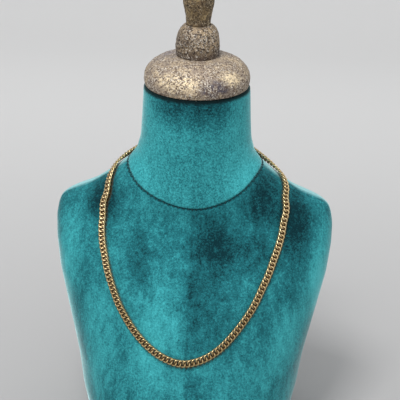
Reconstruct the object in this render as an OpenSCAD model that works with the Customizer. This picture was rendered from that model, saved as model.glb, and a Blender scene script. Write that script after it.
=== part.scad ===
// Curb chain necklace, closed round the neck of a velvet neck bust with a turned wooden cap and finial.
// The bust stands on z = 0, its front faces -Y, and the neck's axis is x = 0, y = 0.

/* [Chain] */
// Distance from one link to the next along the chain
link_pitch = 3.65; // [3.4:0.05:3.8]
// Thickness of the wire that the links are bent from
wire_d = 1.45; // [1.3:0.05:1.55]
// Width of the chain, over the outer sides of its links
chain_w = 6.2; // [5.6:0.1:7]
// How far a quarter of each link is twisted out of the plane of the chain
twist_rise = 1.05; // [0.95:0.05:1.2]
// Free play between the ends of two links
link_play = 0.38; // [0.34:0.02:0.44]
// How far the chain is rolled, so that its inner edge stands off the velvet
chain_roll = 15; // [10:1:18]

/* [Clasp] */
// Length of the clasp between the middles of its two eyes
clasp_l = 26; // [20:1:32]
// Diameter of the clasp's barrel
clasp_d = 4; // [3:0.5:5]
// Thickness of the wire of the two eyes
eye_wire_d = 1; // [0.8:0.1:1.2]

/* [Neck bust] */
// Width over the ends of the shoulders
shoulder_w = 246; // [220:2:270]
// Height of the chest, from the base to the root of the neck
chest_h = 235; // [215:1:255]
// Reach of the chest in front of the neck's axis, low down where it is fullest
chest_front = 140; // [127:1:152]
// Reach of the back behind the neck's axis
chest_back = 48; // [44:1:56]
// Diameter of the neck at its top
neck_d = 90; // [84:1:96]
// Height of the neck above its root
neck_h = 90; // [75:1:110]

/* [Turned cap and finial] */
// Diameter of the cap on the neck
cap_d = 90.5; // [80:0.5:100]
// Height of the cap
cap_h = 25; // [20:1:32]
// Diameter of the ball on the cap
ball_d = 37.5; // [30:0.5:42]
// Height of the ball
ball_h = 26; // [22:1:32]
// Diameter of the foot of the stem, on the ball
stem_foot_d = 20.5; // [15:0.5:22]
// Widest diameter of the stem
stem_top_d = 27; // [24:0.5:32]
// Height of the stem
stem_h = 36; // [28:1:46]

/* [Fit] */
// Gap between the chain and the velvet
seat_gap = 0.4; // [0.35:0.05:0.6]
// Gap between pieces that stand on each other
stack_gap = 0.2; // [0.1:0.05:0.4]

/* [Hidden] */

// Sections of the chest. Heights are shares of chest_h, half widths of half of shoulder_w, front and
// back reaches of chest_front and chest_back. Power 1 is an ellipse, less is squarer, more is sharper.
HEIGHT_COLUMN = 0;
HALF_COLUMN = 1;
FRONT_COLUMN = 2;
BACK_COLUMN = 3;
POWER_COLUMN = 4;
CHEST_SHARES = [
    // height, half width, front, back, power
    [0.000, 0.735, 0.98, 0.86, 0.90],
    [0.130, 0.780, 1.00, 0.88, 0.90],
    [0.255, 0.825, 0.985, 0.90, 0.90],
    [0.360, 0.850, 0.917, 0.93, 0.90],
    [0.531, 0.920, 0.789, 0.97, 0.90],
    [0.680, 0.980, 0.66, 1.00, 0.90],
    [0.784, 1.000, 0.532, 1.00, 0.90],
    [0.859, 1.000, 0.414, 0.98, 0.95],
    [0.911, 0.980, 0.36, 0.97, 1.05],
    [0.940, 0.950, 0.35, 0.96, 1.12],
    [0.963, 0.870, 0.345, 0.96, 1.16],
    [0.985, 0.750, 0.345, 0.96, 1.18]];
// Sections of the neck. Heights are shares of neck_h above the root, the rest of half of neck_d.
NECK_SHARES = [
    [0.05, 1.78, 1.07, 1.02, 1.16],
    [0.13, 1.54, 1.06, 1.02, 1.10],
    [0.22, 1.31, 1.05, 1.02, 1.05],
    [0.32, 1.15, 1.04, 1.02, 1.00],
    [0.48, 1.06, 1.03, 1.02, 1.00],
    [0.70, 1.03, 1.02, 1.01, 1.00],
    [1.00, 1.00, 1.00, 1.00, 1.00]];
function section(row, foot, h, half, front, back) = [
    foot + row[HEIGHT_COLUMN] * h,
    row[HALF_COLUMN] * half,
    row[FRONT_COLUMN] * front,
    row[BACK_COLUMN] * back,
    row[POWER_COLUMN]];
SECTIONS = concat(
    [for (row = CHEST_SHARES) section(row, 0, chest_h, shoulder_w / 2, chest_front, chest_back)],
    [for (row = NECK_SHARES) section(row, chest_h, neck_h, neck_d / 2, neck_d / 2, neck_d / 2)]);
BUST_SIDES = 24;

// Route of the chain, chosen by hand in mm on the velvet under it: x, y and the height from the neck's
// root. It goes from the left of the clasp over the front to the right of it.
CLASP_RISE = 27;
ROUTE = [
    // x, y, height
    [-35, 38, 25], [-49, 27, 20.5], [-59.5, 14, 16.5], [-66, 3, 13], [-70.5, -7, 10], [-73, -17, 4],
    [-75, -26.5, -5], [-76.5, -35, -15], [-76.5, -41, -25.5], [-75, -50, -37], [-71.5, -61.5, -48.5],
    [-66.5, -71.5, -61], [-60.5, -81, -72.5], [-52.5, -89.5, -84.5], [-43, -97.5, -95.5],
    [-31.5, -105, -105], [-18, -110.5, -112], [-2.5, -112.5, -115.5], [13.5, -111, -112],
    [27, -105.5, -104.5], [38, -98.5, -94.5], [47.5, -91, -83.5], [55.5, -82.5, -72], [62, -72.5, -60],
    [68, -62.5, -48], [73, -50, -36], [76, -41.5, -26], [78, -35, -16], [79, -28, -8], [78.5, -18.5, -1],
    [76.5, -7, 5.5], [70.5, 6, 11], [61.5, 18, 16], [49, 29.5, 21.5], [35, 39, 25.5]];

// Link, as a twisted ring of straight stretches
LINK_SIDES = 10;
WIRE_SIDES = 5;
// a five-sided wire of this share of the radius has as much metal as the round one
WIRE_FIT_RATIO = 1.06;
wire_r = WIRE_FIT_RATIO * wire_d / 2;
link_half_l = (link_pitch + wire_d + link_play) / 2;
link_half_w = (chain_w - wire_d) / 2;
// the lift holds the lowest stretch of a rolled link clear of the velvet
ROLL_STEP = 10;
function drop(p) = -p[1] * sin(chain_roll) - p[2] * cos(chain_roll);
chain_lift = max([for (a = [0:ROLL_STEP:359]) drop(link_line(a))]) + wire_r + seat_gap;
ROUTE_STEPS = 7;

// Small helpers
function unit(v) = v / norm(v);
function power(v, p) = sign(v) * pow(abs(v), p);
function column(c) = [for (s = SECTIONS) [s[HEIGHT_COLUMN], s[c]]];
HALVES = column(HALF_COLUMN);
FRONTS = column(FRONT_COLUMN);
BACKS = column(BACK_COLUMN);
POWERS = column(POWER_COLUMN);

// Point of the bust's surface, by the angle round it and the height
function skin(u, z) =
    let (p = lookup(z, POWERS), reach = cos(u) < 0 ? lookup(z, FRONTS) : lookup(z, BACKS))
    [-lookup(z, HALVES) * power(sin(u), p), reach * power(cos(u), p), z];
// Outward direction there, taken over a few millimetres so that it turns smoothly
SPREAD_ANGLE = 4;
SPREAD_HEIGHT = 5;
function outward(u, z) =
    let (round = skin(u + SPREAD_ANGLE, z) - skin(u - SPREAD_ANGLE, z),
         up = skin(u, z + SPREAD_HEIGHT) - skin(u, z - SPREAD_HEIGHT))
    unit(cross(round, up));

// Angle round the bust of a point near its surface
function angle_of(q) =
    let (p = lookup(q[2], POWERS), reach = q[1] < 0 ? lookup(q[2], FRONTS) : lookup(q[2], BACKS),
         u = atan2(-power(q[0] / lookup(q[2], HALVES), 1 / p), power(q[1] / reach, 1 / p)))
    u < 0 ? u + 360 : u;

// The barrel stands clear of the neck, so the links beside the clasp rise to it over a short stretch
RISE_ANGLE = 36;
clasp_z = chest_h + CLASP_RISE;
clasp_reach = clasp_l / 2 + link_half_l;
clasp_angle = asin(clasp_reach / (lookup(clasp_z, HALVES) + chain_lift));
clasp_rise = max(0, lookup(clasp_z, BACKS) + seat_gap + clasp_d / 2
    - skin(clasp_angle, clasp_z)[1] - chain_lift * cos(clasp_angle) - link_half_l * sin(clasp_angle));
// 1 beside the clasp, falling to 0 where the chain lies on the velvet
function by_clasp(u) = (1 + cos(180 * min(1, (min(u, 360 - u) - clasp_angle) / RISE_ANGLE))) / 2;
function rise(u) = clasp_rise * by_clasp(u);

// Smooth curve through the route's points
function curve_at(p, i, k) =
    let (a = p[max(i - 1, 0)], b = p[i], c = p[i + 1], d = p[min(i + 2, len(p) - 1)])
    b + k * (c - a) / 2 + k * k * (a - 2.5 * b + 2 * c - d / 2) + k * k * k * (1.5 * (b - c) + (d - a) / 2);
FULL_ROUTE = concat(
    [skin(clasp_angle, clasp_z)], [for (q = ROUTE) q + [0, 0, chest_h]], [skin(360 - clasp_angle, clasp_z)]);
CURVE = [
    for (i = [0:len(FULL_ROUTE) - 2], j = [0:ROUTE_STEPS - 1]) curve_at(FULL_ROUTE, i, j / ROUTE_STEPS),
    FULL_ROUTE[len(FULL_ROUTE) - 1]];
TRACK = [for (q = CURVE) [angle_of(q), q[2]]];
FACING = [for (t = TRACK) outward(t[0], t[1])];
OVER_SKIN = [
    for (i = [0:len(TRACK) - 1])
        let (t = TRACK[i]) skin(t[0], t[1]) + (chain_lift + rise(t[0])) * FACING[i]];
// The links lie and turn together, so each takes the mean of a short stretch
LIE_STEPS = 2;
TURN_STEPS = 3;
function mean_of(list, i, steps) =
    let (n = min(steps, i, len(list) - 1 - i), near = [for (j = [i - n:i + n]) list[j]])
    [for (v = near) 1] * near / len(near);
TRACK_OUT = [for (i = [0:len(TRACK) - 1]) unit(mean_of(FACING, i, TURN_STEPS))];
TRACK_POINTS = [for (i = [0:len(TRACK) - 1]) mean_of(OVER_SKIN, i, LIE_STEPS)];
TRACK_RUN = [
    for (i = 0, s = 0; i < len(TRACK);
         s = s + (i + 1 < len(TRACK) ? norm(TRACK_POINTS[i + 1] - TRACK_POINTS[i]) : 0), i = i + 1) s];
chain_l = TRACK_RUN[len(TRACK_RUN) - 1];
X_ON = [for (i = [0:len(TRACK) - 1]) [TRACK_RUN[i], TRACK_POINTS[i][0]]];
Y_ON = [for (i = [0:len(TRACK) - 1]) [TRACK_RUN[i], TRACK_POINTS[i][1]]];
Z_ON = [for (i = [0:len(TRACK) - 1]) [TRACK_RUN[i], TRACK_POINTS[i][2]]];
ROLL_ON = [for (i = [0:len(TRACK) - 1]) [TRACK_RUN[i], chain_roll * (1 - by_clasp(TRACK[i][0]))]];
OUT_X = [for (i = [0:len(TRACK) - 1]) [TRACK_RUN[i], TRACK_OUT[i][0]]];
OUT_Y = [for (i = [0:len(TRACK) - 1]) [TRACK_RUN[i], TRACK_OUT[i][1]]];
OUT_Z = [for (i = [0:len(TRACK) - 1]) [TRACK_RUN[i], TRACK_OUT[i][2]]];
function chain_point(s) = [lookup(s, X_ON), lookup(s, Y_ON), lookup(s, Z_ON)];
function chain_out(s) = unit([lookup(s, OUT_X), lookup(s, OUT_Y), lookup(s, OUT_Z)]);

// The whole number of links that fills the run, at the pitch nearest to the one asked for
link_count = 2 * round(chain_l / link_pitch / 2 + 0.5);
true_pitch = chain_l / (link_count - 1);

// Frame of a link: its place, then its directions along, across and out of the chain
function link_frame(i) =
    let (s = i * true_pitch, p = chain_point(s),
         along_raw = chain_point(min(s + true_pitch, chain_l)) - chain_point(max(s - true_pitch, 0)),
         out_raw = chain_out(s),
         along = unit(along_raw),
         flat_out = unit(out_raw - along * (out_raw * along)),
         out = rolled(flat_out, along, lookup(s, ROLL_ON)))
    [p, along, cross(out, along), out];
function rolled(out, along, roll) = cos(roll) * out - sin(roll) * cross(out, along);
function in_frame(f, v) = f[0] + v[0] * f[1] + v[1] * f[2] + v[2] * f[3];

// Middle of the wire, and the direction that it runs in
function link_line(a) = [link_half_l * cos(a), link_half_w * sin(a), -twist_rise * sin(2 * a)];
function link_run(a) = unit([-link_half_l * sin(a), link_half_w * cos(a), -2 * twist_rise * cos(2 * a)]);
function wire_ring(a) =
    let (run = link_run(a), side = unit(cross(run, [0, 0, 1])), top = cross(side, run))
    [for (j = [0:WIRE_SIDES - 1])
        let (b = 90 + 360 * j / WIRE_SIDES) link_line(a) + wire_r * (cos(b) * side + sin(b) * top)];
LINK_POINTS = [for (i = [0:LINK_SIDES - 1], p = wire_ring(360 * i / LINK_SIDES)) p];
LINK_FACES = [
    for (i = [0:LINK_SIDES - 1], j = [0:WIRE_SIDES - 1])
        let (a = i * WIRE_SIDES + j, b = i * WIRE_SIDES + (j + 1) % WIRE_SIDES,
             c = ((i + 1) % LINK_SIDES) * WIRE_SIDES + j,
             d = ((i + 1) % LINK_SIDES) * WIRE_SIDES + (j + 1) % WIRE_SIDES)
        each [[a, b, d], [a, d, c]]];
LINK_CORNERS = len(LINK_POINTS);

// A run of links, each one a closed ring that passes through the rings beside it
module links(first, last) {
    points = [for (i = [first:last]) let (f = link_frame(i)) each [for (p = LINK_POINTS) in_frame(f, p)]];
    faces = [for (i = [0:last - first], t = LINK_FACES) [for (v = t) v + i * LINK_CORNERS]];
    polyhedron(points, faces);
}

module chain_left() {
    color("goldenrod") links(0, link_count / 2 - 1);
}

module chain_right() {
    color("goldenrod") links(link_count / 2, link_count - 1);
}

// Barrel clasp behind the neck, with an eye at each end that passes through the last link there
EYE_PLAY = 0.3;
eye_r = wire_r + EYE_PLAY + eye_wire_d / 2;
// each eye is turned square to the wire that runs through it
eye_tilt = atan2(2 * twist_rise, link_half_w);
// the stub between barrel and eye, as shares of the barrel's diameter: its own, and its seat
STUB_SHARE = 0.5;
STUB_SEAT_SHARE = 0.25;
module clasp_eye(tilt) {
    rotate([tilt + 90, 0, 0]) rotate_extrude($fn = 48) translate([eye_r, 0]) circle(d = eye_wire_d, $fn = 24);
}

module clasp() {
    first = link_frame(0);
    last = link_frame(link_count - 1);
    a = in_frame(last, [link_half_l, 0, 0]);
    b = in_frame(first, [-link_half_l, 0, 0]);
    along = unit(b - a);
    out_raw = first[3] + last[3];
    out = unit(out_raw - along * (out_raw * along));
    across = cross(out, along);
    middle = (a + b) / 2;
    half = norm(b - a) / 2;
    barrel_l = 2 * (half - eye_r - clasp_d / 2);
    stub_in = STUB_SEAT_SHARE * clasp_d;
    color("goldenrod") multmatrix([
        [along[0], across[0], out[0], middle[0]],
        [along[1], across[1], out[1], middle[1]],
        [along[2], across[2], out[2], middle[2]],
        [0, 0, 0, 1]]) {
        rotate([0, 90, 0]) cylinder(h = barrel_l, d = clasp_d, center = true, $fn = 48);
        for (side = [-1, 1]) {
            translate([side * half, 0, 0]) clasp_eye(side * eye_tilt);
            rotate([0, side * 90, 0])
                translate([0, 0, barrel_l / 2 - stub_in])
                    cylinder(h = half - eye_r - barrel_l / 2 + stub_in, d = clasp_d * STUB_SHARE, $fn = 32);
        }
    }
}

// Neck, shoulders and chest in one closed form, flat underneath and on top
module bust_form() {
    rings = len(SECTIONS);
    points = [
        for (s = SECTIONS, i = [0:BUST_SIDES - 1]) skin(360 * i / BUST_SIDES, s[HEIGHT_COLUMN])];
    walls = [
        for (r = [0:rings - 2], i = [0:BUST_SIDES - 1])
            let (j = (i + 1) % BUST_SIDES, a = r * BUST_SIDES + i, b = r * BUST_SIDES + j,
                 c = a + BUST_SIDES, d = b + BUST_SIDES)
            each [[a, d, b], [a, c, d]]];
    base = [for (i = [0:BUST_SIDES - 1]) i];
    top = [for (i = [0:BUST_SIDES - 1]) rings * BUST_SIDES - 1 - i];
    color("teal") polyhedron(points, concat([base], walls, [top]));
}

// Turned pieces. The cap has a rounded edge, then a low dome up to the seat of the ball
TURN_POINTS = 8;
// a quarter of an oval: from the foot out to the edge, or from the edge in to the top
function oval_out(foot, r, h) =
    [for (i = [0:TURN_POINTS - 1])
        let (a = 90 * i / TURN_POINTS) [foot + (r - foot) * sin(a), h * (1 - cos(a))]];
function oval_in(r, top, z, h) =
    [for (i = [0:TURN_POINTS]) let (a = 90 * i / TURN_POINTS) [top + (r - top) * cos(a), z + h * sin(a)]];
CAP_EDGE_SHARE = 0.24;
CAP_FOOT_SHARE = 0.95;
cap_z = chest_h + neck_h + stack_gap;
module neck_cap() {
    r = cap_d / 2;
    edge = CAP_EDGE_SHARE * cap_h;
    profile = concat(
        [[0, 0]],
        oval_out(CAP_FOOT_SHARE * r, r, edge),
        oval_in(r, ball_d / 2, edge, cap_h - edge),
        [[0, cap_h]]);
    color("rosybrown") translate([0, 0, cap_z]) rotate_extrude($fn = 96) polygon(profile);
}

// Ball of the finial: a short upright foot under a round shoulder
BALL_FOOT_SHARE = 0.94;
BALL_WAIST_SHARE = 0.32;
ball_z = cap_z + cap_h + stack_gap;
module finial_ball() {
    r = ball_d / 2;
    waist = BALL_WAIST_SHARE * ball_h;
    profile = concat(
        [[0, 0]],
        oval_out(BALL_FOOT_SHARE * r, r, waist),
        oval_in(r, stem_foot_d / 2, waist, ball_h - waist),
        [[0, ball_h]]);
    color("rosybrown") translate([0, 0, ball_z]) rotate_extrude($fn = 72) polygon(profile);
}

// Stem of the finial, flaring upwards to a round top
STEM_FLARE_SHARE = 0.62;
stem_z = ball_z + ball_h + stack_gap;
module finial_stem() {
    foot = stem_foot_d / 2;
    top = stem_top_d / 2;
    flare = STEM_FLARE_SHARE * stem_h;
    profile = concat(
        [[0, 0]],
        [for (i = [0:TURN_POINTS - 1])
            let (k = i / TURN_POINTS) [foot + (top - foot) * (1 - cos(180 * k)) / 2, flare * k]],
        oval_in(top, 0, flare, stem_h - flare));
    color("rosybrown") translate([0, 0, stem_z]) rotate_extrude($fn = 64) polygon(profile);
}

chain_left();
chain_right();
clasp();
bust_form();
neck_cap();
finial_ball();
finial_stem();
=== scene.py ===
import math

import bmesh
import bpy
import numpy as np
from mathutils import Matrix, Vector, kdtree, noise


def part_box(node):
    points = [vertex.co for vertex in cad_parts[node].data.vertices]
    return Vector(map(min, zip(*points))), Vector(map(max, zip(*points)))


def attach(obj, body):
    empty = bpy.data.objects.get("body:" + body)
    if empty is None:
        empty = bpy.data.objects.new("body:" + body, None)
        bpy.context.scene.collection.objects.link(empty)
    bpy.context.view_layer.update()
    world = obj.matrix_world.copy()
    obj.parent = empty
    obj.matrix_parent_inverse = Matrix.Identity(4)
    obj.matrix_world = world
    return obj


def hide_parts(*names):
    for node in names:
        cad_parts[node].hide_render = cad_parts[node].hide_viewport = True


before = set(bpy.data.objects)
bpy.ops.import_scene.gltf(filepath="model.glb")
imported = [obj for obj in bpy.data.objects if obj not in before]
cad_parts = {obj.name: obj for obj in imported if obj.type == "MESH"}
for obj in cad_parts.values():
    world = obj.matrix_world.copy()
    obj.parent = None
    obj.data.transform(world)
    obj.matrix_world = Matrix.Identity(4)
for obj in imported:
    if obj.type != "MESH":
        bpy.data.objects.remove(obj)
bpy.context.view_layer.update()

# Velvet cover of the bust
# A hard form of neck, shoulders and chest, covered in teal velvet that is cut in panels and sewn round
# the neck, down the front and down both sides. Its sections are those of the solid that it covers.
cover_columns = 200
cover_rings = 170
smoothing = 0.0035
section_step = 0.0005
edge_round = 0.003
seam_depth = 0.0011
seam_width = 0.0008
seam_puff = 0.0004
puff_width = 0.005
seam_shade = 0.0009
# the neck seam's shade is deepest in front: its share behind, and its spread in degrees
seam_shade_behind = 0.45
seam_shade_spread = 60
# rows of the mesh that hold a seam's shape, from its middle, and how far the evenly spaced rows stay off
seam_rows = (-0.0024, -0.0015, -0.0009, -0.0005, -0.0002, 0, 0.0002, 0.0005, 0.0009, 0.0015, 0.0024)
front_seam_rows = (-0.0018, -0.0011, -0.0006, -0.0003, 0, 0.0003, 0.0006, 0.0011, 0.0018)
seam_clear = 0.003
seam_reach = 0.03
# the seams down the front and the sides are drawn tighter, and show less
faint_seam = 0.3
# a shadow of the chain is painted on the velvet beside it, most at its lower right
chain_shade_near = 0.0009
chain_shade_far = 0.002
chain_shade_shift = Vector((-0.0005, 0, 0.001))
chain_mesh_reach = 0.007
neck_height = 0.09
# the neck seam dips at the front: its height at the sides over the neck's root, its dip, and its spread
neck_seam_rise = 0.021
neck_seam_dip = 0.026
neck_seam_front = 181.0
neck_seam_left = 48.0
neck_seam_right = 42.0
front_seam_x = -0.0004
side_seam_turn = 97.0
# degrees of turn to a metre of cloth at the sides
side_degrees = 330
# a painted sheen makes the nap pale on the ridge of the shoulders, above this depth under the neck's root
ridge_depth = 0.07
ridge_fade = 0.03
# the chest's nap was brushed by hand in patches: how far from the middle, the height over the neck's
# root, half the width and half the length, and the shade that the patch adds
ACROSS, HEIGHT, HALF_WIDTH, HALF_LENGTH, SHADE = range(5)
brushed_patches = [
    (-0.077, -0.006, 0.023, 0.031, -0.50),
    (-0.024, -0.034, 0.012, 0.022, -0.10),
    (0.000, -0.050, 0.012, 0.046, -0.14),
    (-0.024, -0.062, 0.012, 0.032, 0.16),
    (0.022, -0.034, 0.022, 0.032, -0.34),
    (0.060, 0.000, 0.026, 0.034, -0.38),
    (0.050, -0.038, 0.028, 0.022, -0.26),
    (0.088, -0.020, 0.022, 0.042, -0.54),
    (-0.043, -0.040, 0.015, 0.042, -0.26),
    (-0.030, -0.096, 0.032, 0.050, 0.28),
    (-0.074, -0.098, 0.026, 0.048, 0.24),
    (-0.108, -0.062, 0.018, 0.080, 0.36),
    (0.117, -0.070, 0.022, 0.064, 0.60),
    (0.106, -0.082, 0.018, 0.040, 0.46),
    (0.046, -0.070, 0.022, 0.024, 0.10),
    (0.086, -0.110, 0.028, 0.044, 0.44),
    (0.034, -0.134, 0.110, 0.048, 0.26),
    (-0.078, -0.142, 0.022, 0.036, 0.24),
    (0.086, -0.166, 0.024, 0.024, 0.30),
    (0.010, -0.136, 0.022, 0.016, -0.14)]
patch_depth = 0.05

solid = {}
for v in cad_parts["bust_form"].data.vertices:
    solid.setdefault(round(v.co.z, 5), []).append(v.co)
heights = sorted(solid)
sections = []
for z in heights:
    ring = solid[z]
    half = max(abs(p.x) for p in ring)
    front = -min(p.y for p in ring)
    back = max(p.y for p in ring)
    # at the corner point, half way round a quarter, both shares are the same power of the root of a half
    corner = min((p for p in ring if p.y > 0), key=lambda p: abs(abs(p.x) / half - p.y / back))
    power = math.log(abs(corner.x) / half) / math.log(math.sqrt(0.5))
    sections.append((half, front, back, power))
sections = np.array(sections)
top_z = heights[-1]
root_z = top_z - neck_height
neck_seam_z = root_z + neck_seam_rise
fine_z = np.arange(0, top_z + section_step, section_step)
near = np.linspace(-smoothing, smoothing, 9)
reach = np.minimum(np.minimum(fine_z, top_z - fine_z) / smoothing, 1)
fine = np.array([
    np.mean([np.interp(fine_z + d * reach, heights, sections[:, c]) for d in near], axis=0)
    for c in range(4)])


def section_at(z):
    """Half width, depth in front, depth behind and corner power of the cover at a height."""
    return [np.interp(z, fine_z, fine[c]) for c in range(4)]


def skin(turn, z):
    """Point of the cover: turn is 0 at the back, 90 on the left and 180 at the front."""
    half, front, back, power = section_at(z)
    s, c = math.sin(math.radians(turn)), math.cos(math.radians(turn))
    far = front if c < 0 else back
    return Vector((
        -half * math.copysign(abs(s) ** power, s),
        far * math.copysign(abs(c) ** power, c),
        z))


def neck_seam(turn):
    """Height of the neck seam at a turn."""
    off = turn - neck_seam_front
    spread = neck_seam_left if off < 0 else neck_seam_right
    return neck_seam_z - neck_seam_dip * math.exp(-((off / spread) ** 2))


# rings are evenly spaced along the longer of the front and side profiles, and close together at the neck
# seam and where the cloth turns in
half, front, _, _ = section_at(fine_z)
step = np.hypot(np.maximum(abs(np.gradient(half)), abs(np.gradient(front))), np.gradient(fine_z))
walked = np.concatenate([[0], np.cumsum(step[1:])])
ring_z = np.interp(np.linspace(0, walked[-1], cover_rings), walked, fine_z)
ring_z = ring_z[abs(ring_z - neck_seam_z) > seam_clear]
ring_z = np.concatenate([ring_z, neck_seam_z + np.array(seam_rows)])
ring_z = ring_z[(ring_z > edge_round) & (ring_z < top_z - edge_round)]
edge_rows = [edge_round * share for share in (0.03, 0.12, 0.26, 0.45, 0.7)]
ring_z = np.concatenate([ring_z, [0, top_z], edge_rows, [top_z - e for e in edge_rows]])
ring_z = np.sort(ring_z)
# columns are evenly spaced round the form, and close together at the side seams
column_turn = np.linspace(0, 360, cover_columns + 1)
for seam_turn in (side_seam_turn, 360 - side_seam_turn):
    column_turn = column_turn[abs(column_turn - seam_turn) > seam_clear * side_degrees]
    column_turn = np.concatenate([column_turn, seam_turn + np.array(seam_rows) * side_degrees])
column_turn = np.sort(column_turn)

cover = bmesh.new()
bmesh.ops.create_grid(cover, x_segments=len(column_turn) - 1, y_segments=len(ring_z) - 1, size=1)
for v in cover.verts:
    turn = column_turn[round((v.co.x + 1) / 2 * (len(column_turn) - 1))]
    level = ring_z[round((v.co.y + 1) / 2 * (len(ring_z) - 1))]
    seam = neck_seam(turn)
    if level <= neck_seam_z:
        z = level * seam / neck_seam_z
    else:
        z = seam + (level - neck_seam_z) * (top_z - seam) / (top_z - neck_seam_z)
    v.co = skin(turn, z)
bmesh.ops.remove_doubles(cover, verts=cover.verts, dist=1e-6)
bmesh.ops.holes_fill(cover, edges=[e for e in cover.edges if e.is_boundary])
bmesh.ops.recalc_face_normals(cover, faces=cover.faces)
for offset in front_seam_rows:
    faces = [f for f in cover.faces if f.calc_center_median().y < 0 and abs(f.normal.z) < 0.99]
    geom = list({v for f in faces for v in f.verts}) + list({e for f in faces for e in f.edges}) + faces
    bmesh.ops.bisect_plane(
        cover, geom=geom, dist=1e-6, plane_co=(front_seam_x + offset, 0, 0), plane_no=(1, 0, 0))

# the cloth beside the chain gets a closer mesh, to hold the chain's shade
wires = [v.co for node in ("chain_left", "chain_right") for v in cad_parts[node].data.vertices]
chain_wires = kdtree.KDTree(len(wires))
for k, co in enumerate(wires):
    chain_wires.insert(co, k)
chain_wires.balance()
beside_chain = [
    f for f in cover.faces if chain_wires.find(f.calc_center_median())[2] < chain_mesh_reach]
finer = bmesh.ops.subdivide_edges(
    cover, edges=list({e for f in beside_chain for e in f.edges}), cuts=2, use_grid_fill=True)


def turn_of(p):
    """Turn at which a point of the cover lies, counted as skin does."""
    half, front, back, power = section_at(p.z)
    far = front if p.y < 0 else back
    s = math.copysign(abs(p.x / half) ** (1 / power), -p.x)
    c = math.copysign(abs(p.y / far) ** (1 / power), p.y)
    return math.degrees(math.atan2(s, c)) % 360


for v in finer["geom_inner"]:
    if isinstance(v, bmesh.types.BMVert):
        v.co = skin(turn_of(v.co), v.co.z)


def limited(x):
    """x kept between 0 and 1."""
    return max(0, min(1, x))


def beside(d, width):
    """1 at no distance, falling to 0 over about twice the width."""
    return math.exp(-((d / width) ** 2))


def groove(d):
    """How deep the cloth lies at a distance from a seam: drawn in at the seam, and puffed up beside it."""
    return seam_depth * beside(d, seam_width) - seam_puff * beside(abs(d) - puff_width, puff_width)


def chain_shade(p):
    """1 under the chain's wires, falling to 0 a little way from them."""
    far = min(chain_wires.find(p)[2], chain_wires.find(p + chain_shade_shift)[2])
    return limited((chain_shade_far - far) / (chain_shade_far - chain_shade_near))


patch_places = []
for patch in brushed_patches:
    level = root_z + patch[HEIGHT]
    half, front, back, power = section_at(level)
    reach = front * max(0, 1 - (abs(patch[ACROSS]) / half) ** (2 / power)) ** (power / 2)
    patch_places.append(Vector((patch[ACROSS], -reach, level)))


def brushed_shade(p):
    """What the patches add at a point."""
    shade = 0
    for patch, place in zip(brushed_patches, patch_places):
        off = p - place
        far = Vector((off.x / patch[HALF_WIDTH], off.y / patch_depth, off.z / patch[HALF_LENGTH])).length
        near = limited((1 - far) / 0.8)
        shade += patch[SHADE] * near * near * (3 - 2 * near)
    return shade


# values for the material: 1 on the neck's panel, how deep in a seam the cloth lies, the chain's painted
# shadow, the patches' shade, and 1 on the ridge of the shoulders, where a sheen is painted
neck_layer = cover.verts.layers.float.new("neck_panel")
seam_layer = cover.verts.layers.float.new("in_seam")
chain_layer = cover.verts.layers.float.new("chain_shade")
patch_layer = cover.verts.layers.float.new("brushed_shade")
ridge_sheen_layer = cover.verts.layers.float.new("shoulder_ridge")
cover.normal_update()
moves = []
for v in cover.verts:
    sunk = 0
    p = v.co
    turn = turn_of(p)
    over_seam = p.z - neck_seam(turn)
    v[neck_layer] = 1 if over_seam > 0 else 0
    v[chain_layer] = chain_shade(p)
    if abs(over_seam) < seam_reach:
        sunk += groove(over_seam)
        in_front = beside(turn - neck_seam_front, seam_shade_spread)
        shade = seam_shade_behind + (1 - seam_shade_behind) * in_front
        v[seam_layer] = beside(over_seam, seam_shade) * shade
    if p.y < 0 and over_seam < 0:
        sunk += faint_seam * groove(p.x - front_seam_x)
        v[seam_layer] += faint_seam * beside(p.x - front_seam_x, seam_shade) / 2
    if over_seam < 0:
        v[patch_layer] = brushed_shade(p)
        from_side = (min(turn, 360 - turn) - side_seam_turn) / side_degrees
        sunk += faint_seam * groove(from_side)
        v[seam_layer] += faint_seam * beside(from_side, seam_shade)
        # the ridge, where the sheen is painted, lies high and faces up, neither forwards nor far back
        high = limited((p.z - root_z + ridge_depth) / ridge_fade)
        facing = min((v.normal.y + 0.16) / 0.2, (0.65 - v.normal.y) / 0.3, (v.normal.z - 0.1) / 0.3)
        v[ridge_sheen_layer] = high * limited(facing)
    # the cloth turns in at the top and at the base
    from_edge = min(p.z, top_z - p.z)
    if from_edge < edge_round:
        sunk += edge_round - math.sqrt(edge_round ** 2 - (edge_round - from_edge) ** 2)
    moves.append((v, sunk))
for v, sunk in moves:
    at_edge = min(v.co.z, top_z - v.co.z) < edge_round
    outward = Vector((v.normal.x, v.normal.y, 0)) if at_edge else v.normal
    if outward.length > 0.1:
        v.co -= sunk * outward.normalized()


def smooth_piece(name, bm):
    """Puts a smooth-shaded object in the scene, made from a bmesh, which it frees."""
    mesh = bpy.data.meshes.new(name)
    bm.to_mesh(mesh)
    bm.free()
    mesh.shade_smooth()
    piece = bpy.data.objects.new(name, mesh)
    bpy.context.scene.collection.objects.link(piece)
    return piece


velvet_cover = smooth_piece("velvet_cover", cover)
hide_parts("bust_form")
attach(velvet_cover, "root")


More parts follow.
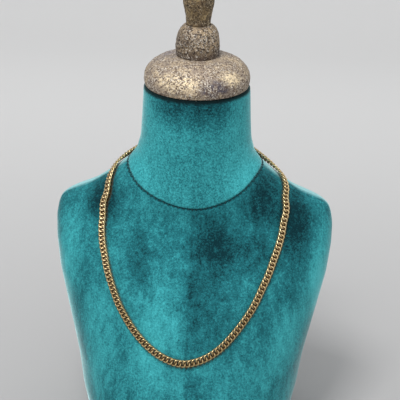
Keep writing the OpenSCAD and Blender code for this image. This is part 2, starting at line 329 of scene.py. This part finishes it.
class Shade:
    """An output of a shader node. Sums, differences and products of shades add Math nodes."""

    def __init__(self, tree, socket):
        self.tree = tree
        self.socket = socket

    def node(self, kind, settings, values, output=0):
        """An output of a new node of a kind, with its settings and the values or links of its sockets."""
        made = self.tree.nodes.new(kind)
        for name, value in settings.items():
            if name == "stops":
                ramp = made.color_ramp.elements
                while len(ramp) < len(value):
                    ramp.new(1)
                for stop, (place, colour) in zip(ramp, value):
                    stop.position = place
                    stop.color = (*colour, 1)
            else:
                setattr(made, name, value)
        for name, value in values.items():
            if isinstance(value, Shade):
                self.tree.links.new(value.socket, made.inputs[name])
            else:
                made.inputs[name].default_value = value
        return Shade(self.tree, made.outputs[output])

    def maths(self, operation, a, b=0.0):
        return self.node("ShaderNodeMath", {"operation": operation}, {0: a, 1: b})

    def __add__(self, other):
        return self.maths("ADD", self, other)

    __radd__ = __add__

    def __sub__(self, other):
        return self.maths("SUBTRACT", self, other)

    def __rsub__(self, other):
        return self.maths("SUBTRACT", other, self)

    def __mul__(self, other):
        return self.maths("MULTIPLY", self, other)

    __rmul__ = __mul__

    def ramp(self, low, high):
        """0 below low, 1 above high, and a smooth rise between them."""
        return self.node("ShaderNodeMapRange", {"interpolation_type": "SMOOTHSTEP"},
                         {"Value": self, "From Min": low, "From Max": high})

    def blend(self, dark, light):
        """Colour dark where this value is 0 and light where it is 1."""
        colours = {name: c if isinstance(c, Shade) else (*c, 1) for name, c in ((6, dark), (7, light))}
        return self.node("ShaderNodeMix", {"data_type": "RGBA"}, {0: self, **colours}, 2)

    def coordinate(self, axis):
        """This vector's x, y or z, for an axis of 0, 1 or 2."""
        return self.node("ShaderNodeSeparateXYZ", {}, {0: self}, axis)

    def attribute(self, name):
        """A value that the mesh holds at each of its points."""
        return self.node("ShaderNodeAttribute", {"attribute_name": name}, {}, "Fac")

    def noise(self, scale, detail=3, roughness=0.5, stretch=(1, 1, 1)):
        """Noise at this vector, with as many cells in a metre as scale says."""
        at = self.node("ShaderNodeMapping", {}, {"Vector": self, "Scale": stretch})
        return self.node("ShaderNodeTexNoise", {}, {
            "Vector": at, "Scale": scale, "Detail": detail, "Roughness": roughness})

    def near(self, place, radius, stretch=(1, 1, 1)):
        """1 at a place, falling to 0 at a radius from it, which is longer where stretch is."""
        size = tuple(1 / (radius * s) for s in stretch)
        off = self.node("ShaderNodeVectorMath", {"operation": "SUBTRACT"}, {0: self, 1: place})
        off = self.node("ShaderNodeVectorMath", {"operation": "MULTIPLY"}, {0: off, 1: size})
        far = self.node("ShaderNodeVectorMath", {"operation": "LENGTH"}, {0: off}, 1)
        return 1 - far.ramp(0.2, 1)


def new_material(name):
    """A material with a Principled shader, its object coordinates, and the shader."""
    material = bpy.data.materials.new(name)
    material.use_nodes = True
    tree = material.node_tree
    shader = tree.nodes["Principled BSDF"]
    place = tree.nodes.new("ShaderNodeTexCoord")
    return material, Shade(tree, place.outputs["Object"]), shader


def feed(shader, **shades):
    """Links shades to a shader's sockets, with _ for the space in a socket's name."""
    for name, shade in shades.items():
        shade.tree.links.new(shade.socket, shader.inputs[name.replace("_", " ")])


# velvet is dark where the nap leans away and pale where it leans to the light: its colours, the share of
# the colour ramp that a full nap reaches, and how the chest's nap lies, and the neck's over it
nap_dark = (0.0015, 0.024, 0.031)
nap_middle = (0.013, 0.135, 0.157)
nap_pale = (0.043, 0.338, 0.366)
nap_palest = (0.075, 0.47, 0.505)
nap_share = 0.75
chest_nap = 0.58
neck_nap = 0.22
ridge_sheen_pale = (0.32, 0.62, 0.64)
seam_dark = (0.001, 0.028, 0.035)
cap_shadow_dark = (0.001, 0.005, 0.006)
chain_shadow_brown = (0.06, 0.03, 0.004)
velvet, at, shader = new_material("teal_velvet")
across = at.coordinate(0)
depth = at.coordinate(1)
height = at.coordinate(2)
on_neck = at.attribute("neck_panel")
# the neck's nap is paler, with a painted sheen that pales it more to its sides, most on the right, and a
# painted shadow that darkens it under the cap
neck_side = across.maths("ABSOLUTE", across).ramp(0.018, 0.046)
neck_nap_and_sheen = neck_side * 0.14 + across.ramp(0.005, 0.045) * 0.17 + neck_nap
cap_shadow = height.ramp(top_z - 0.034, top_z - 0.004)
# the panel to the right of the front seam is a little darker, most beside the seam
right_panel = across.ramp(front_seam_x - 0.0008, front_seam_x + 0.0012) * (1 - depth.ramp(-0.03, 0.01))
past_seam = right_panel * (1 - across.ramp(0.008, 0.05))
base_tone = at.attribute("brushed_shade") + chest_nap
base_tone = base_tone - right_panel * 0.09 - past_seam * (1 - on_neck) * 0.11
base_tone = base_tone + on_neck * neck_nap_and_sheen - cap_shadow * (1 - neck_side) * 0.56
calm = 1 - on_neck * 0.4
clouds = at.noise(42, 5, 0.62, (1, 1, 0.6)) - 0.5
streaks = at.noise(180, 4, 0.7, (1, 1, 0.4)) - 0.5
pile = at.noise(620, 2, 0.9) - 0.5
nap = base_tone + (clouds * 0.6 + streaks * 0.95) * calm + pile * (on_neck * 0.5 + 1.3)
naps = ((0, nap_dark), (0.5 * nap_share, nap_middle), (nap_share, nap_pale), (1, nap_palest))
colour = nap.node("ShaderNodeValToRGB", {"stops": naps}, {0: nap * nap_share})
# a painted sheen pales the ridge of the shoulders
ridge_sheen = at.attribute("shoulder_ridge") * (streaks * 0.5 + 0.85)
colour = ridge_sheen.blend(colour, ridge_sheen_pale)
colour = (at.attribute("in_seam") * 0.92).blend(colour, seam_dark)
# a painted shadow darkens the top of the neck just under the cap
colour = (height.ramp(top_z - 0.0045, top_z - 0.0012) * 0.95).blend(colour, cap_shadow_dark)
# the chain's painted shadow on the velvet
colour = (at.attribute("chain_shade") * 0.86).blend(colour, chain_shadow_brown)
feed(shader, Base_Color=colour)
feed(shader, Normal=at.node("ShaderNodeBump", {}, {"Height": pile, "Strength": 0.3, "Distance": 0.0008}))
shader.inputs["Roughness"].default_value = 0.9
shader.inputs["Specular IOR Level"].default_value = 0.1
shader.inputs["Sheen Weight"].default_value = 0.7
shader.inputs["Sheen Roughness"].default_value = 0.28
shader.inputs["Sheen Tint"].default_value = (0.72, 1, 1, 1)
velvet_cover.data.materials.append(velvet)

# Stitches of the neck seam
# A fine dark thread drawn to and fro over the seam, each stitch sunk into the pile at both ends.
stitch_count = 112
stitch_half_l = 0.0018
stitch_r = 0.0003
stitch_slant = math.radians(38)


def at_neck_seam(turn, above=0):
    """Point of the cover in the neck seam, or a little above it."""
    return skin(turn, neck_seam(turn) + above)


stitches = bmesh.new()
for k in range(stitch_count):
    turn = 360 * k / stitch_count
    along = (at_neck_seam(turn + 0.5) - at_neck_seam(turn - 0.5)).normalized()
    up = at_neck_seam(turn, 0.0005) - at_neck_seam(turn, -0.0005)
    out = up.cross(along).normalized()
    slant = stitch_slant if k % 2 else -stitch_slant
    length = Matrix.Rotation(slant, 3, out) @ out.cross(along)
    lie = Matrix((out.cross(length), out, length)).transposed().to_4x4()
    size = Matrix.Diagonal((stitch_r, stitch_r, stitch_half_l, 1))
    bmesh.ops.create_uvsphere(
        stitches, u_segments=6, v_segments=5, radius=1,
        matrix=Matrix.Translation(at_neck_seam(turn)) @ lie @ size)
neck_stitches = smooth_piece("neck_stitches", stitches)
thread, at, shader = new_material("teal_thread")
shader.inputs["Base Color"].default_value = (0.002, 0.032, 0.039, 1)
shader.inputs["Roughness"].default_value = 0.7
neck_stitches.data.materials.append(thread)
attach(neck_stitches, "root")

# Turned cap of the neck
# A low dome with a rounded edge, turned from wood, primed, and rubbed with antique gold over dark paint.
cap_low, cap_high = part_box("neck_cap")
cap_r = (cap_high.x - cap_low.x) / 2
cap_h = cap_high.z - cap_low.z
cap_foot = 0.95 * cap_r
cap_edge = 0.24 * cap_h
# the dome ends at the foot of the ball that stands on it
ball_low, ball_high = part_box("finial_ball")
ball_r = (ball_high.x - ball_low.x) / 2
turn_points = 24
lump = 0.0006
lump_scale = 60
pit = 0.00035
pit_scale = 420
# lumps and pits fade out at a piece's flat ends, over this height
end_fade = 0.002


def disc(r, z, rings):
    """Points of a flat disc from its middle out to its edge, without the edge."""
    return [(r * k / rings, z) for k in range(rings)]


def oval_out(foot, r, z, h):
    """Points of a quarter oval from a foot out to the edge, without the edge."""
    turns = [math.pi / 2 * k / turn_points for k in range(turn_points)]
    return [(foot + (r - foot) * math.sin(a), z + h * (1 - math.cos(a))) for a in turns]


def oval_in(r, top, z, h):
    """Points of a quarter oval from the edge in to the top."""
    turns = [math.pi / 2 * k / turn_points for k in range(turn_points + 1)]
    return [(top + (r - top) * math.cos(a), z + h * math.sin(a)) for a in turns]


def spin_round(bm, steps):
    """Spins what a bmesh holds once round the upright axis, and closes the ring."""
    bmesh.ops.spin(
        bm, geom=bm.verts[:] + bm.edges[:], cent=(0, 0, 0), axis=(0, 0, 1), angle=math.tau,
        steps=steps, use_merge=True)


def turned_piece(name, profile, steps, seed):
    """Spins a profile round the neck's axis, with the lumps and pits of primed and painted wood."""
    bm = bmesh.new()
    rim = [bm.verts.new((r, 0, z)) for r, z in profile]
    for a, b in zip(rim, rim[1:]):
        bm.edges.new((a, b))
    spin_round(bm, steps)
    bmesh.ops.remove_doubles(bm, verts=bm.verts, dist=1e-6)
    bmesh.ops.recalc_face_normals(bm, faces=bm.faces)
    low = min(z for r, z in profile)
    high = max(z for r, z in profile)
    shift = Vector((seed, 0, 0))
    bm.normal_update()
    for v in bm.verts:
        share = min(1, (v.co.z - low) / end_fade, (high - v.co.z) / end_fade) if v.co.z > low + 1e-5 else 0
        lumps = lump * noise.noise(v.co * lump_scale + shift)
        pits = pit * noise.noise(v.co * pit_scale + shift)
        v.co += share * (lumps + pits - (lump + pit) / 2) * v.normal
    piece = smooth_piece(name, bm)
    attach(piece, "root")
    return piece


def rubbed_gold(name, gold, paint):
    """Gold rubbed over paint, in mottled clouds: material, coordinates, shader and colour."""
    material, at, shader = new_material(name)
    mottle = at.noise(170, 4, 0.7) - 0.5
    cloud = at.noise(46, 3, 0.55) - 0.5
    rubbed = (cloud * 1.6 + mottle * 2.2 + 0.5).ramp(0.05, 0.95)
    return material, at, shader, rubbed.blend(paint, gold)


def speckled(at, shader, body, dark, pale):
    """Gives a shader the colour body with dark and chalky speckles of a millimetre, and its grain."""
    speckle = at.noise(590, 3, 0.85) - 0.5
    patchy = at.noise(120, 3, 0.6) - 0.5
    spots = (speckle * 3.2 + patchy * 1.2 + 0.32).ramp(0.12, 0.6)
    chalk = (at.noise(640, 3, 0.85) - 0.5 + patchy * 0.3).ramp(0.04, 0.15)
    colour = (chalk * 0.85).blend(spots.blend(body, dark), pale)
    shader.inputs["Specular IOR Level"].default_value = 0.4
    shader.inputs["Metallic"].default_value = 0.25
    grain = {"Height": speckle + patchy, "Strength": 0.6, "Distance": 0.0008}
    bump = at.node("ShaderNodeBump", {}, grain)
    feed(shader, Base_Color=colour, Roughness=0.52 + spots * 0.3, Normal=bump)


cap_profile = disc(cap_foot, cap_low.z, 12)
cap_profile += oval_out(cap_foot, cap_r, cap_low.z, cap_edge)
cap_profile += oval_in(cap_r, ball_r, cap_low.z + cap_edge, cap_h - cap_edge)
cap_profile += reversed(disc(ball_r, cap_high.z, 8))
cap = turned_piece("turned_cap", cap_profile, steps=192, seed=3)
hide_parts("neck_cap")
cap_gold = (0.56, 0.44, 0.29)
cap_highlight = (0.86, 0.7, 0.46)
cap_paint = (0.29, 0.23, 0.18)
cap_primer = (0.08, 0.068, 0.085)
cap_mauve = (0.25, 0.22, 0.225)
cap_speckle = (0.11, 0.075, 0.056)
cap_chalk = (0.84, 0.77, 0.66)
material, at, shader, body = rubbed_gold("cap_antique_gold", cap_gold, cap_paint)
# painted highlights make the rim bright at two places; it is dark at a third, and the gold is thin on the
# top
broken = (at.noise(230, 3, 0.7) - 0.5) * 2.4 + 0.6
painted_highlight = at.near((-0.016, -0.041, cap_low.z + 0.013), 0.02, (1.7, 1, 0.55))
painted_highlight = painted_highlight + at.near((0.03, -0.03, cap_low.z + 0.014), 0.018, (1, 1, 0.5))
body = (painted_highlight * broken).ramp(0, 0.8).blend(body, cap_highlight)
dark_patch = at.near((0.016, -0.042, cap_low.z + 0.009), 0.02, (1.1, 1, 0.55))
body = (dark_patch * broken).ramp(0.05, 0.7).blend(body, cap_primer)
thin_top = at.near((-0.01, 0.012, cap_high.z), 0.05, (1.2, 0.9, 0.4))
body = (thin_top * broken).ramp(0.05, 0.8).blend(body, cap_mauve)
speckled(at, shader, body, cap_speckle, cap_chalk)
cap.data.materials.append(material)

# Ball of the finial
# Turned and finished as the cap is, and darker at its foot.
ball_foot = 0.94 * ball_r
ball_h = ball_high.z - ball_low.z
ball_waist = 0.32 * ball_h
# the ball ends at the foot of the stem that stands on it, this wide
stem_foot_d = 0.0205
stem_foot = stem_foot_d / 2
ball_profile = disc(ball_foot, ball_low.z, 6)
ball_profile += oval_out(ball_foot, ball_r, ball_low.z, ball_waist)
ball_profile += oval_in(ball_r, stem_foot, ball_low.z + ball_waist, ball_h - ball_waist)
ball_profile += reversed(disc(stem_foot, ball_high.z, 3))
ball = turned_piece("finial_ball_turned", ball_profile, steps=128, seed=11)
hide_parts("finial_ball")
ball_gold = (0.4, 0.3, 0.185)
ball_paint = (0.19, 0.14, 0.095)
ball_foot_dark = (0.05, 0.03, 0.024)
ball_speckle = (0.028, 0.017, 0.014)
ball_chalk = (0.72, 0.66, 0.57)
material, at, shader, body = rubbed_gold("ball_antique_gold", ball_gold, ball_paint)
at_foot = 1 - at.coordinate(2).ramp(ball_low.z + 0.001, ball_low.z + 0.011)
body = (at_foot * 0.8).blend(body, ball_foot_dark)
speckled(at, shader, body, ball_speckle, ball_chalk)
ball.data.materials.append(material)

# Stem of the finial
# The top of the turning, which flares upwards to a round end. Its finish is browner than the ball's, with
# upright streaks.
stem_low, stem_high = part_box("finial_stem")
stem_r = (stem_high.x - stem_low.x) / 2
stem_h = stem_high.z - stem_low.z
stem_flare = 0.62 * stem_h
stem_profile = disc(stem_foot, stem_low.z, 2)
for k in range(turn_points):
    share = k / turn_points
    flared = (stem_r - stem_foot) * (1 - math.cos(math.pi * share)) / 2
    stem_profile.append((stem_foot + flared, stem_low.z + stem_flare * share))
stem_profile += oval_in(stem_r, 0, stem_low.z + stem_flare, stem_h - stem_flare)
stem = turned_piece("finial_stem_turned", stem_profile, steps=96, seed=23)
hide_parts("finial_stem")
stem_gold = (0.36, 0.26, 0.125)
stem_paint = (0.15, 0.1, 0.053)
stem_streak = (0.075, 0.048, 0.024)
stem_speckle = (0.045, 0.029, 0.017)
stem_chalk = (0.48, 0.4, 0.27)
material, at, shader, body = rubbed_gold("stem_antique_gold", stem_gold, stem_paint)
streak = at.noise(400, 3, 0.7, (1, 1, 0.2)).ramp(0.42, 0.6)
body = (streak * 0.7).blend(body, stem_streak)
speckled(at, shader, body, stem_speckle, stem_chalk)
stem.data.materials.append(material)

# Curb chain, in two runs that meet at the front
# Each link is a ring of gold wire, twisted so that it lies flat, soldered, and then filed flat on its two
# faces and outer sides. It passes through the links beside it, in the place that the chain's solid gives.
link_wire_r = 0.00073
link_pitch = 0.00365
link_play = 0.0001
link_half_l = (link_pitch + 2 * link_wire_r + link_play) / 2
link_half_w = 0.0027
link_squareness = 0.7
# how far the twist lifts the wire at the corners
twist_rise = 0.00106
link_steps = 22
wire_sides = 8
# how deep the faces, the outer sides and the edges between them are filed
face_filed = 0.00048
side_filed = 0.0004
edge_filed = 0.0003


def link_point(a):
    """Point of the wire's middle, where a is the turn round the link."""
    c, s = math.cos(a), math.sin(a)
    return Vector((
        link_half_l * math.copysign(abs(c) ** link_squareness, c),
        link_half_w * math.copysign(abs(s) ** link_squareness, s),
        -twist_rise * math.sin(2 * a)))


link = bmesh.new()
bmesh.ops.create_circle(link, segments=wire_sides, radius=link_wire_r)
bmesh.ops.rotate(link, verts=link.verts, matrix=Matrix.Rotation(math.pi / 2, 3, "X"))
bmesh.ops.rotate(link, verts=link.verts, matrix=Matrix.Rotation(math.pi / wire_sides, 3, "Y"))
bmesh.ops.translate(link, verts=link.verts, vec=(link_half_l, 0, 0))
bmesh.ops.rotate(link, verts=link.verts, matrix=Matrix.Rotation(math.pi / link_steps, 3, "Z"))
spin_round(link, link_steps)
# how far in a point of the wire lies from the filed faces, where a painted shade makes the gold darker
hole_shade_layer = link.verts.layers.float.new("in_hole")
face = twist_rise + link_wire_r - face_filed
flank = link_half_w + link_wire_r - side_filed
filed_edge = (face + flank) / math.sqrt(2) - edge_filed
filed = set()
for v in link.verts:
    a = math.atan2(v.co.y, v.co.x)
    out = math.hypot(v.co.x, v.co.y) - link_half_l
    ahead = (link_point(a + 0.02) - link_point(a - 0.02)).normalized()
    side = ahead.cross(Vector((0, 0, 1))).normalized()
    p = link_point(a) + out * side + v.co.z * side.cross(ahead)
    if abs(p.y) > flank or abs(p.z) > face:
        filed.add(v)
    p.y = max(-flank, min(flank, p.y))
    p.z = max(-face, min(face, p.z))
    over = (abs(p.y) + abs(p.z)) / math.sqrt(2) - filed_edge
    if over > 0:
        p -= over * Vector((0, math.copysign(1, p.y), math.copysign(1, p.z))) / math.sqrt(2)
    inward = max(-out, abs(out) * abs(math.cos(a))) / link_wire_r
    at_flank = limited((abs(p.y) / flank - 0.7) / 0.25)
    v[hole_shade_layer] = limited(2 * (0.52 - abs(p.z) / face) + 0.7 * inward) * (1 - 0.6 * at_flank)
    v.co = p
# filed faces have crisp edges, and the wire between them is round
for e in link.edges:
    a, b = [all(v in filed for v in f.verts) for f in e.link_faces]
    e.smooth = a == b
bmesh.ops.recalc_face_normals(link, faces=link.faces)
link_mesh = bpy.data.meshes.new("one_link")
link.to_mesh(link_mesh)
link.free()


def link_places(node):
    """Place and turn of each link of a run: its middle, and the main directions of its points."""
    bm = bmesh.new()
    bm.from_mesh(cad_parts[node].data)
    bmesh.ops.remove_doubles(bm, verts=bm.verts, dist=1e-7)
    seen = set()
    places = []
    for start in bm.verts:
        if start in seen:
            continue
        seen.add(start)
        ring = [start]
        for v in ring:
            for e in v.link_edges:
                other = e.other_vert(v)
                if other not in seen:
                    seen.add(other)
                    ring.append(other)
        points = np.array([v.co for v in ring])
        middle = points.mean(axis=0)
        _, axes = np.linalg.eigh(np.cov((points - middle).T))
        along, out = Vector(axes[:, 2]), Vector(axes[:, 0])
        turn = Matrix((along, out.cross(along), out)).transposed().to_4x4()
        places.append(Matrix.Translation(Vector(middle)) @ turn)
    bm.free()
    return places


gold_pale = (0.82, 0.67, 0.39)
gold_warm = (0.64, 0.47, 0.22)
gold_low_shade = (0.4, 0.3, 0.14)
gold_hole_shade = (0.13, 0.038, 0.002)
gold, at, shader = new_material("polished_gold")
in_hole = at.attribute("in_hole")
wear = at.noise(260, 3, 0.6)
metal = wear.ramp(0.3, 0.7).blend(gold_warm, gold_pale)
# a painted shade makes the gold duller low on the chest
low_shade = 1 - at.coordinate(2).ramp(root_z - 0.09, root_z - 0.02)
metal = (low_shade * 0.7).blend(metal, gold_low_shade)
# painted shade in the hollows of the links: browner, rougher and less metallic
feed(shader, Base_Color=in_hole.blend(metal, gold_hole_shade))
feed(shader, Roughness=0.22 + wear * 0.16 + in_hole * 0.3)
feed(shader, Metallic=1 - in_hole * 0.8)
for node in ("chain_left", "chain_right"):
    run = bmesh.new()
    for place in link_places(node):
        known = len(run.verts)
        run.from_mesh(link_mesh)
        run.verts.ensure_lookup_table()
        bmesh.ops.transform(run, matrix=place, verts=run.verts[known:])
    links = smooth_piece(node + "_links", run)
    links.data.materials.append(gold)
    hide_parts(node)
    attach(links, "root")
bpy.data.meshes.remove(link_mesh)

# Clasp
# A barrel clasp of the same metal behind the neck, with an eye at each end for the last link. It is as
# plain as its solid, because the front view hides it.
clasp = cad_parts["clasp"]
clasp.data.materials.clear()
clasp.data.materials.append(gold)

# Floor and backdrop
# One pale sweep under and behind the bust, which isn't part of it.
sweep_width = 6.0
sweep_front = -2.5
sweep_back = 2.0
sweep_top = 3.5
sweep_bend = 0.8
bend_steps = 12
bend_start = sweep_back - sweep_bend
line = [(sweep_front, 0), (bend_start, 0)]
for k in range(1, bend_steps + 1):
    a = math.pi / 2 * k / bend_steps
    line.append((bend_start + sweep_bend * math.sin(a), sweep_bend - sweep_bend * math.cos(a)))
line.append((sweep_back, sweep_top))
sweep = bmesh.new()
low_edge = [sweep.verts.new((-sweep_width / 2, y, z)) for y, z in line]
for a, b in zip(low_edge, low_edge[1:]):
    sweep.edges.new((a, b))
widened = bmesh.ops.extrude_edge_only(sweep, edges=sweep.edges[:])
far_edge = [g for g in widened["geom"] if isinstance(g, bmesh.types.BMVert)]
bmesh.ops.translate(sweep, vec=(sweep_width, 0, 0), verts=far_edge)
bmesh.ops.recalc_face_normals(sweep, faces=sweep.faces)
floor = smooth_piece("sweep", sweep)
# the grey deepens towards the front: a painted shade, so that the floor looks no brighter than the wall
grey_near = (0.4, 0.395, 0.395)
grey_far = (0.72, 0.715, 0.71)
pale, at, shader = new_material("pale_grey")
feed(shader, Base_Color=at.coordinate(1).ramp(-0.2, 1.05).blend(grey_near, grey_far))
shader.inputs["Roughness"].default_value = 0.9
floor.data.materials.append(pale)

# Light
# A large soft light from the upper left, a weaker one from the right, and an even pale surrounding.
world = bpy.data.worlds.new("studio")
world.use_nodes = True
sky = world.node_tree.nodes["Background"]
sky.inputs["Color"].default_value = (0.97, 0.985, 1, 1)
toward = Shade(world.node_tree, world.node_tree.nodes.new("ShaderNodeTexCoord").outputs["Generated"])
feed(sky, Strength=0.27 + toward.coordinate(2).ramp(-0.6, 0.9) * 0.6)
bpy.context.scene.world = world


def soft_light(name, place, aim, size, power):
    """A square light at a place, which shines at the aim."""
    lamp = bpy.data.lights.new(name, "AREA")
    lamp.shape = "SQUARE"
    lamp.size = size
    lamp.energy = power
    light = bpy.data.objects.new(name, lamp)
    light.location = place
    light.rotation_euler = (Vector(aim) - Vector(place)).to_track_quat("-Z", "Y").to_euler()
    bpy.context.scene.collection.objects.link(light)


bust_middle = (0, 0, 0.24)
soft_light("key", (-0.3, -0.6, 1.6), bust_middle, size=0.45, power=16)
soft_light("fill", (0.2, -1.6, 0.7), bust_middle, size=1.2, power=4)

# Camera
# Where the photograph was taken from: in front, a little to the right and above, slightly rolled.
pitch = math.radians(24.973)
yaw = math.radians(2.128)
roll = math.radians(1.298)
distance = 0.88927
aim = Vector((0.004654, 0, 0.216917))
spin = Matrix.Rotation(yaw, 3, "Z")
forward = spin @ Vector((0, math.cos(pitch), -math.sin(pitch)))
right = spin @ Vector((1, 0, 0))
up = right.cross(forward)
rolled_right = math.cos(roll) * right + math.sin(roll) * up
rolled_up = math.cos(roll) * up - math.sin(roll) * right
eye = bpy.data.cameras.new("camera")
eye.lens = 90
eye.sensor_width = 36
camera = bpy.data.objects.new("camera", eye)
camera.matrix_world = Matrix.Translation(spin @ aim - distance * forward) @ Matrix(
    (rolled_right, rolled_up, -forward)).transposed().to_4x4()
bpy.context.scene.collection.objects.link(camera)
bpy.context.scene.camera = camera
bpy.context.scene.view_settings.view_transform = "Standard"
